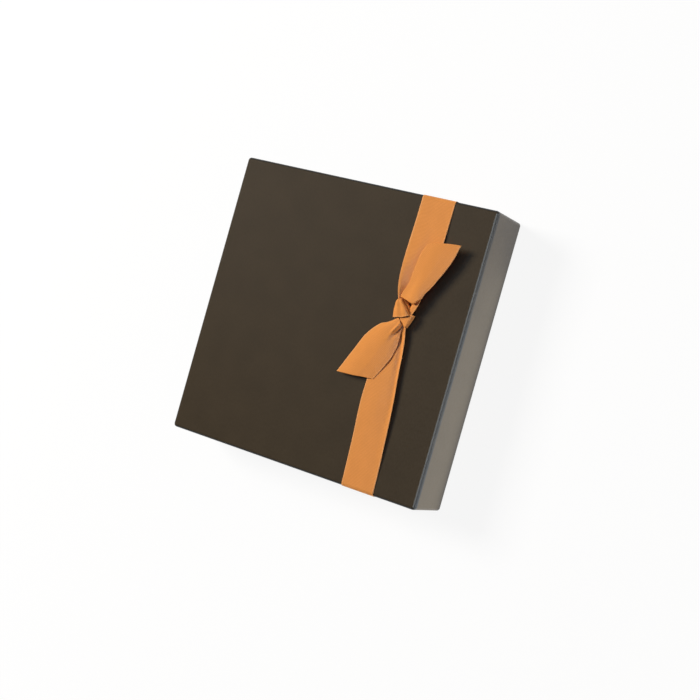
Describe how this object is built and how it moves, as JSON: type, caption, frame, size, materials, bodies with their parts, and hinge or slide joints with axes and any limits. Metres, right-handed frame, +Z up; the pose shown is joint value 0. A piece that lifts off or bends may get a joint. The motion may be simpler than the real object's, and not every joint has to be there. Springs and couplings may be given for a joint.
{
  "type": "gift box",
  "caption": "Flat square rigid gift box with a full-depth lift-off lid, a ribbon band tied in a plain knot, and a divided tray with a quilted pad inside.",
  "frame": {"origin": "on the table under the middle of the box, at the underside of the base", "axes": "+Z up through the lid, +Y along the ribbon band, +X towards the side nearer the band"},
  "size_m": [0.17, 0.1706, 0.0414],
  "materials": {
    "brown_paper": "matt laminate",
    "grey_board": "raw grey board",
    "gummed_paper": "kraft",
    "lining_paper": "uncoated cream",
    "divider_card": "matt brown",
    "pad_paper": "embossed, quilted",
    "copper_satin": "satin",
    "clear_tape": "translucent"
  },
  "bodies": {
    "base": {"base_board": "grey_board", "base_corner_stays": "gummed_paper", "base_wrap": "brown_paper", "base_lining": "lining_paper", "base_bottom_sheet": "brown_paper"},
    "insert": {"divider_long_1": "divider_card", "divider_long_2": "divider_card", "divider_long_3": "divider_card", "divider_long_4": "divider_card", "divider_cross_1": "divider_card", "divider_cross_2": "divider_card", "divider_cross_3": "divider_card", "divider_cross_4": "divider_card"},
    "pad": {"candy_pad": "pad_paper"},
    "lid": {"lid_board": "grey_board", "lid_corner_stays": "gummed_paper", "lid_wrap": "brown_paper", "lid_lining": "lining_paper", "ribbon_band_upper": "copper_satin", "ribbon_band_lower": "copper_satin", "ribbon_knot_wrap": "copper_satin", "ribbon_knot_turn": "copper_satin", "ribbon_tail_upper": "copper_satin", "ribbon_tail_lower": "copper_satin", "ribbon_end_tapes": "clear_tape"}
  },
  "joints": [
    {"name": "insert_lift", "type": "slide", "parent": "base", "child": "insert", "axis": [0, 0, 1], "range_m": [0, 0.04]},
    {"name": "pad_lift", "type": "slide", "parent": "insert", "child": "pad", "axis": [0, 0, 1], "range_m": [0, 0.04]},
    {"name": "lid_lift", "type": "slide", "parent": "pad", "child": "lid", "axis": [0, 0, 1], "range_m": [0, 0.06]}
  ]
}
